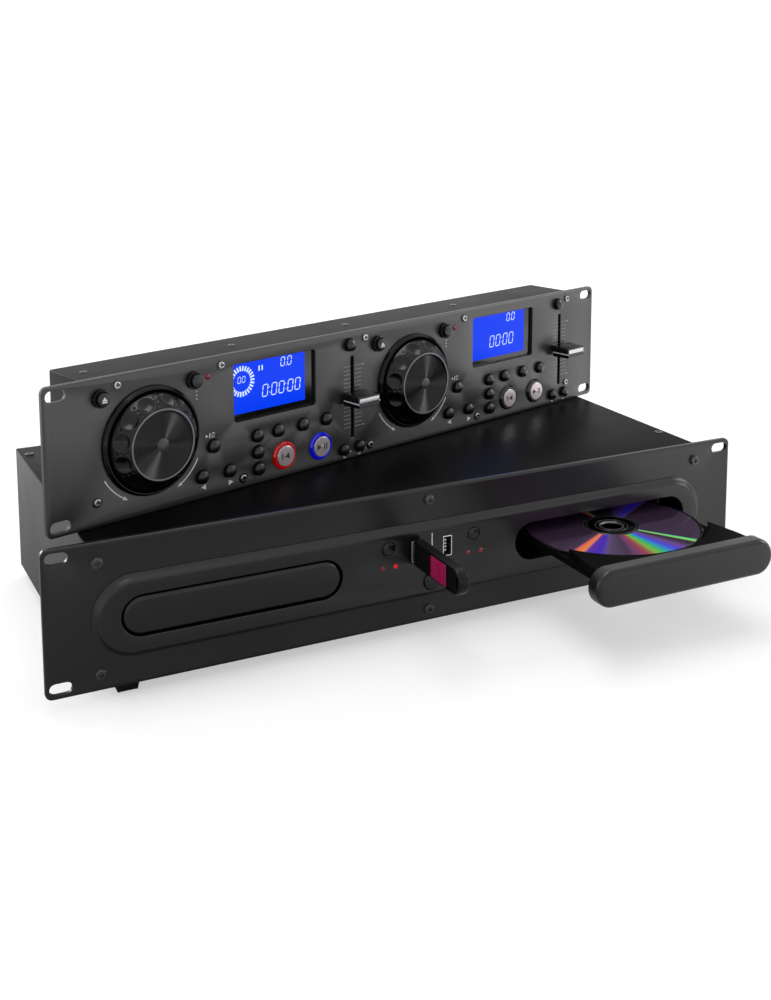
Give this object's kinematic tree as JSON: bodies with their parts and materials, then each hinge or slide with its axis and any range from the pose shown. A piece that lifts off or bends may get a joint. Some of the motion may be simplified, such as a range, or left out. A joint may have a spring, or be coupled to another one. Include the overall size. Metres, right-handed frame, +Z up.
{
  "type": "dual cd player with separate controller",
  "caption": "Rack-mount disc player with sliding disc trays, and its separate controller with jog wheels, displays and pitch sliders standing on its cover",
  "frame": {"origin": "under the middle of the whole object, on the surface the feet stand on", "axes": "+X to the viewer's right along the player's panel, +Y into the player, +Z up; the fronts face -Y"},
  "size_m": [0.4826, 0.3154, 0.1812],
  "materials": {
    "player_panel_paint": "satin black",
    "controller_panel_paint": "fine-grained charcoal",
    "chassis_paint": "semi-matte black",
    "cover_paint": "semi-gloss black",
    "black_screws": "black oxide",
    "bright_screws": "bright zinc",
    "foot_rubber": "matte",
    "board": "solder mask",
    "deck_plastic": "moulded",
    "bezel_plastic": "gloss black",
    "lamp_lens": "tinted clear",
    "jog_plastic": "satin black",
    "fader_plastic": "satin black",
    "silver_button": "spun silver",
    "bright_button": "gloss",
    "black_button": "gloss black",
    "tray_plastic": "moulded black",
    "tray_front_plastic": "satin black",
    "gear_plastic": "natural acetal",
    "disc_face": "data side, iridescent",
    "stick_plastic": "gloss black"
  },
  "bodies": {
    "player": {"player_panel": "player_panel_paint", "player_base": "chassis_paint", "player_cover": "cover_paint", "player_screws": "black_screws", "player_feet": "foot_rubber", "player_board": "board", "disc_decks": "deck_plastic"},
    "controller": {"controller_panel": "controller_panel_paint", "controller_housing": "chassis_paint", "control_board": "board", "controller_screws": "bright_screws", "jog_bezels": "bezel_plastic", "controller_lamps": "lamp_lens"},
    "left_jog_wheel": {"left_jog_wheel": "jog_plastic"},
    "left_pitch_knob": {"left_pitch_knob": "fader_plastic"},
    "left_plus_ten_button": {"left_plus_ten_button": "black_button"},
    "left_track_back_button": {"left_track_back_button": "black_button"},
    "left_track_forward_button": {"left_track_forward_button": "black_button"},
    "left_time_button": {"left_time_button": "black_button"},
    "left_single_button": {"left_single_button": "black_button"},
    "left_program_button": {"left_program_button": "black_button"},
    "left_loop_in_button": {"left_loop_in_button": "black_button"},
    "left_loop_out_button": {"left_loop_out_button": "black_button"},
    "left_reloop_button": {"left_reloop_button": "black_button"},
    "left_bend_minus_button": {"left_bend_minus_button": "black_button"},
    "left_bend_plus_button": {"left_bend_plus_button": "black_button"},
    "left_eject_button": {"left_eject_button": "bright_button"},
    "left_jog_mode_button": {"left_jog_mode_button": "bright_button"},
    "left_cue_button": {"left_cue_button": "silver_button"},
    "left_play_button": {"left_play_button": "silver_button"},
    "left_pitch_button": {"left_pitch_button": "black_button"},
    "right_jog_wheel": {"right_jog_wheel": "jog_plastic"},
    "right_pitch_knob": {"right_pitch_knob": "fader_plastic"},
    "right_plus_ten_button": {"right_plus_ten_button": "black_button"},
    "right_track_back_button": {"right_track_back_button": "black_button"},
    "right_track_forward_button": {"right_track_forward_button": "black_button"},
    "right_time_button": {"right_time_button": "black_button"},
    "right_single_button": {"right_single_button": "black_button"},
    "right_program_button": {"right_program_button": "black_button"},
    "right_loop_in_button": {"right_loop_in_button": "black_button"},
    "right_loop_out_button": {"right_loop_out_button": "black_button"},
    "right_reloop_button": {"right_reloop_button": "black_button"},
    "right_bend_minus_button": {"right_bend_minus_button": "black_button"},
    "right_bend_plus_button": {"right_bend_plus_button": "black_button"},
    "right_eject_button": {"right_eject_button": "bright_button"},
    "right_jog_mode_button": {"right_jog_mode_button": "bright_button"},
    "right_cue_button": {"right_cue_button": "silver_button"},
    "right_play_button": {"right_play_button": "silver_button"},
    "right_pitch_button": {"right_pitch_button": "black_button"},
    "left_tray": {"left_tray": "tray_plastic", "left_tray_front": "tray_front_plastic"},
    "left_loading_gear": {"left_loading_gear": "gear_plastic"},
    "left_source_button": {"left_source_button": "black_button"},
    "right_tray": {"right_tray": "tray_plastic", "right_tray_front": "tray_front_plastic"},
    "right_loading_gear": {"right_loading_gear": "gear_plastic"},
    "right_source_button": {"right_source_button": "black_button"},
    "power_button": {"power_button": "black_button"},
    "disc": {"disc": "disc_face"},
    "usb_stick": {"usb_stick": "stick_plastic"}
  },
  "joints": [
    {"name": "controller_lift", "type": "slide", "parent": "player", "child": "controller", "axis": [0, 0, 1], "range_m": [0, 0.12]},
    {"name": "left_tray_slide", "type": "slide", "parent": "player", "child": "left_tray", "axis": [0, -1, 0], "range_m": [0, 0.142]},
    {"name": "right_tray_slide", "type": "slide", "parent": "player", "child": "right_tray", "axis": [0, -1, 0], "range_m": [-0.092, 0.05]},
    {"name": "left_gear_spin", "type": "hinge", "parent": "player", "child": "left_loading_gear", "pos_m": [-0.1595, -0.03825, 0.0455], "axis": [0, 0, 1], "range_deg": [-2, 584]},
    {"name": "right_gear_spin", "type": "hinge", "parent": "player", "child": "right_loading_gear", "pos_m": [0.1005, -0.03825, 0.0455], "axis": [0, 0, 1], "range_deg": [-379, 207]},
    {"name": "disc_spin", "type": "hinge", "parent": "right_tray", "child": "disc", "pos_m": [0.13, -0.07625, 0.0519], "axis": [0, 0, 1], "continuous": true},
    {"name": "usb_stick_pull", "type": "slide", "parent": "player", "child": "usb_stick", "axis": [0, -1, 0], "range_m": [0, 0.02]},
    {"name": "left_jog_spin", "type": "hinge", "parent": "controller", "child": "left_jog_wheel", "pos_m": [-0.16634, -0.02343, 0.1376], "axis": [0.284, -0.9588, 0], "continuous": true},
    {"name": "right_jog_spin", "type": "hinge", "parent": "controller", "child": "right_jog_wheel", "pos_m": [0.03933, 0.03749, 0.1376], "axis": [0.284, -0.9588, 0], "continuous": true},
    {"name": "left_pitch_slide", "type": "slide", "parent": "controller", "child": "left_pitch_knob", "axis": [0, 0, 1], "range_m": [-0.0256, 0.0249]},
    {"name": "right_pitch_slide", "type": "slide", "parent": "controller", "child": "right_pitch_knob", "axis": [0, 0, 1], "range_m": [-0.0256, 0.0249]},
    {"name": "power_press", "type": "slide", "parent": "player", "child": "power_button", "axis": [0, 1, 0], "range_m": [0, 0.0025], "stiffness_N_per_m": 400, "springref_m": -0.002},
    {"name": "left_source_press", "type": "slide", "parent": "player", "child": "left_source_button", "axis": [0, 1, 0], "range_m": [0, 0.0008], "stiffness_N_per_m": 300, "springref_m": -0.001},
    {"name": "right_source_press", "type": "slide", "parent": "player", "child": "right_source_button", "axis": [0, 1, 0], "range_m": [0, 0.0008], "stiffness_N_per_m": 300, "springref_m": -0.001},
    {"name": "left_play_press", "type": "slide", "parent": "controller", "child": "left_play_button", "axis": [-0.284, 0.9588, 0], "range_m": [0, 0.0008], "stiffness_N_per_m": 300, "springref_m": -0.001},
    {"name": "right_play_press", "type": "slide", "parent": "controller", "child": "right_play_button", "axis": [-0.284, 0.9588, 0], "range_m": [0, 0.0008], "stiffness_N_per_m": 300, "springref_m": -0.001},
    {"name": "left_plus_ten_press", "type": "slide", "parent": "controller", "child": "left_plus_ten_button", "axis": [-0.284, 0.9588, 0], "range_m": [0, 0.0008], "stiffness_N_per_m": 300, "springref_m": -0.001},
    {"name": "left_track_back_press", "type": "slide", "parent": "controller", "child": "left_track_back_button", "axis": [-0.284, 0.9588, 0], "range_m": [0, 0.0008], "stiffness_N_per_m": 300, "springref_m": -0.001},
    {"name": "left_track_forward_press", "type": "slide", "parent": "controller", "child": "left_track_forward_button", "axis": [-0.284, 0.9588, 0], "range_m": [0, 0.0008], "stiffness_N_per_m": 300, "springref_m": -0.001},
    {"name": "left_time_press", "type": "slide", "parent": "controller", "child": "left_time_button", "axis": [-0.284, 0.9588, 0], "range_m": [0, 0.0008], "stiffness_N_per_m": 300, "springref_m": -0.001},
    {"name": "left_single_press", "type": "slide", "parent": "controller", "child": "left_single_button", "axis": [-0.284, 0.9588, 0], "range_m": [0, 0.0008], "stiffness_N_per_m": 300, "springref_m": -0.001},
    {"name": "left_program_press", "type": "slide", "parent": "controller", "child": "left_program_button", "axis": [-0.284, 0.9588, 0], "range_m": [0, 0.0008], "stiffness_N_per_m": 300, "springref_m": -0.001},
    {"name": "left_loop_in_press", "type": "slide", "parent": "controller", "child": "left_loop_in_button", "axis": [-0.284, 0.9588, 0], "range_m": [0, 0.0008], "stiffness_N_per_m": 300, "springref_m": -0.001},
    {"name": "left_loop_out_press", "type": "slide", "parent": "controller", "child": "left_loop_out_button", "axis": [-0.284, 0.9588, 0], "range_m": [0, 0.0008], "stiffness_N_per_m": 300, "springref_m": -0.001},
    {"name": "left_reloop_press", "type": "slide", "parent": "controller", "child": "left_reloop_button", "axis": [-0.284, 0.9588, 0], "range_m": [0, 0.0008], "stiffness_N_per_m": 300, "springref_m": -0.001},
    {"name": "left_bend_minus_press", "type": "slide", "parent": "controller", "child": "left_bend_minus_button", "axis": [-0.284, 0.9588, 0], "range_m": [0, 0.0008], "stiffness_N_per_m": 300, "springref_m": -0.001},
    {"name": "left_bend_plus_press", "type": "slide", "parent": "controller", "child": "left_bend_plus_button", "axis": [-0.284, 0.9588, 0], "range_m": [0, 0.0008], "stiffness_N_per_m": 300, "springref_m": -0.001},
    {"name": "left_eject_press", "type": "slide", "parent": "controller", "child": "left_eject_button", "axis": [-0.284, 0.9588, 0], "range_m": [0, 0.0008], "stiffness_N_per_m": 300, "springref_m": -0.001},
    {"name": "left_jog_mode_press", "type": "slide", "parent": "controller", "child": "left_jog_mode_button", "axis": [-0.284, 0.9588, 0], "range_m": [0, 0.0008], "stiffness_N_per_m": 300, "springref_m": -0.001},
    {"name": "left_cue_press", "type": "slide", "parent": "controller", "child": "left_cue_button", "axis": [-0.284, 0.9588, 0], "range_m": [0, 0.0008], "stiffness_N_per_m": 300, "springref_m": -0.001},
    {"name": "left_pitch_press", "type": "slide", "parent": "controller", "child": "left_pitch_button", "axis": [-0.284, 0.9588, 0], "range_m": [0, 0.0008], "stiffness_N_per_m": 300, "springref_m": -0.001},
    {"name": "right_plus_ten_press", "type": "slide", "parent": "controller", "child": "right_plus_ten_button", "axis": [-0.284, 0.9588, 0], "range_m": [0, 0.0008], "stiffness_N_per_m": 300, "springref_m": -0.001},
    {"name": "right_track_back_press", "type": "slide", "parent": "controller", "child": "right_track_back_button", "axis": [-0.284, 0.9588, 0], "range_m": [0, 0.0008], "stiffness_N_per_m": 300, "springref_m": -0.001},
    {"name": "right_track_forward_press", "type": "slide", "parent": "controller", "child": "right_track_forward_button", "axis": [-0.284, 0.9588, 0], "range_m": [0, 0.0008], "stiffness_N_per_m": 300, "springref_m": -0.001},
    {"name": "right_time_press", "type": "slide", "parent": "controller", "child": "right_time_button", "axis": [-0.284, 0.9588, 0], "range_m": [0, 0.0008], "stiffness_N_per_m": 300, "springref_m": -0.001},
    {"name": "right_single_press", "type": "slide", "parent": "controller", "child": "right_single_button", "axis": [-0.284, 0.9588, 0], "range_m": [0, 0.0008], "stiffness_N_per_m": 300, "springref_m": -0.001},
    {"name": "right_program_press", "type": "slide", "parent": "controller", "child": "right_program_button", "axis": [-0.284, 0.9588, 0], "range_m": [0, 0.0008], "stiffness_N_per_m": 300, "springref_m": -0.001},
    {"name": "right_loop_in_press", "type": "slide", "parent": "controller", "child": "right_loop_in_button", "axis": [-0.284, 0.9588, 0], "range_m": [0, 0.0008], "stiffness_N_per_m": 300, "springref_m": -0.001},
    {"name": "right_loop_out_press", "type": "slide", "parent": "controller", "child": "right_loop_out_button", "axis": [-0.284, 0.9588, 0], "range_m": [0, 0.0008], "stiffness_N_per_m": 300, "springref_m": -0.001},
    {"name": "right_reloop_press", "type": "slide", "parent": "controller", "child": "right_reloop_button", "axis": [-0.284, 0.9588, 0], "range_m": [0, 0.0008], "stiffness_N_per_m": 300, "springref_m": -0.001},
    {"name": "right_bend_minus_press", "type": "slide", "parent": "controller", "child": "right_bend_minus_button", "axis": [-0.284, 0.9588, 0], "range_m": [0, 0.0008], "stiffness_N_per_m": 300, "springref_m": -0.001},
    {"name": "right_bend_plus_press", "type": "slide", "parent": "controller", "child": "right_bend_plus_button", "axis": [-0.284, 0.9588, 0], "range_m": [0, 0.0008], "stiffness_N_per_m": 300, "springref_m": -0.001},
    {"name": "right_eject_press", "type": "slide", "parent": "controller", "child": "right_eject_button", "axis": [-0.284, 0.9588, 0], "range_m": [0, 0.0008], "stiffness_N_per_m": 300, "springref_m": -0.001},
    {"name": "right_jog_mode_press", "type": "slide", "parent": "controller", "child": "right_jog_mode_button", "axis": [-0.284, 0.9588, 0], "range_m": [0, 0.0008], "stiffness_N_per_m": 300, "springref_m": -0.001},
    {"name": "right_cue_press", "type": "slide", "parent": "controller", "child": "right_cue_button", "axis": [-0.284, 0.9588, 0], "range_m": [0, 0.0008], "stiffness_N_per_m": 300, "springref_m": -0.001},
    {"name": "right_pitch_press", "type": "slide", "parent": "controller", "child": "right_pitch_button", "axis": [-0.284, 0.9588, 0], "range_m": [0, 0.0008], "stiffness_N_per_m": 300, "springref_m": -0.001}
  ],
  "couplings": [
    {"joint": "left_gear_spin", "follows": "left_tray_slide", "rad_per_m": 71.429},
    {"joint": "right_gear_spin", "follows": "right_tray_slide", "rad_per_m": 71.429}
  ]
}
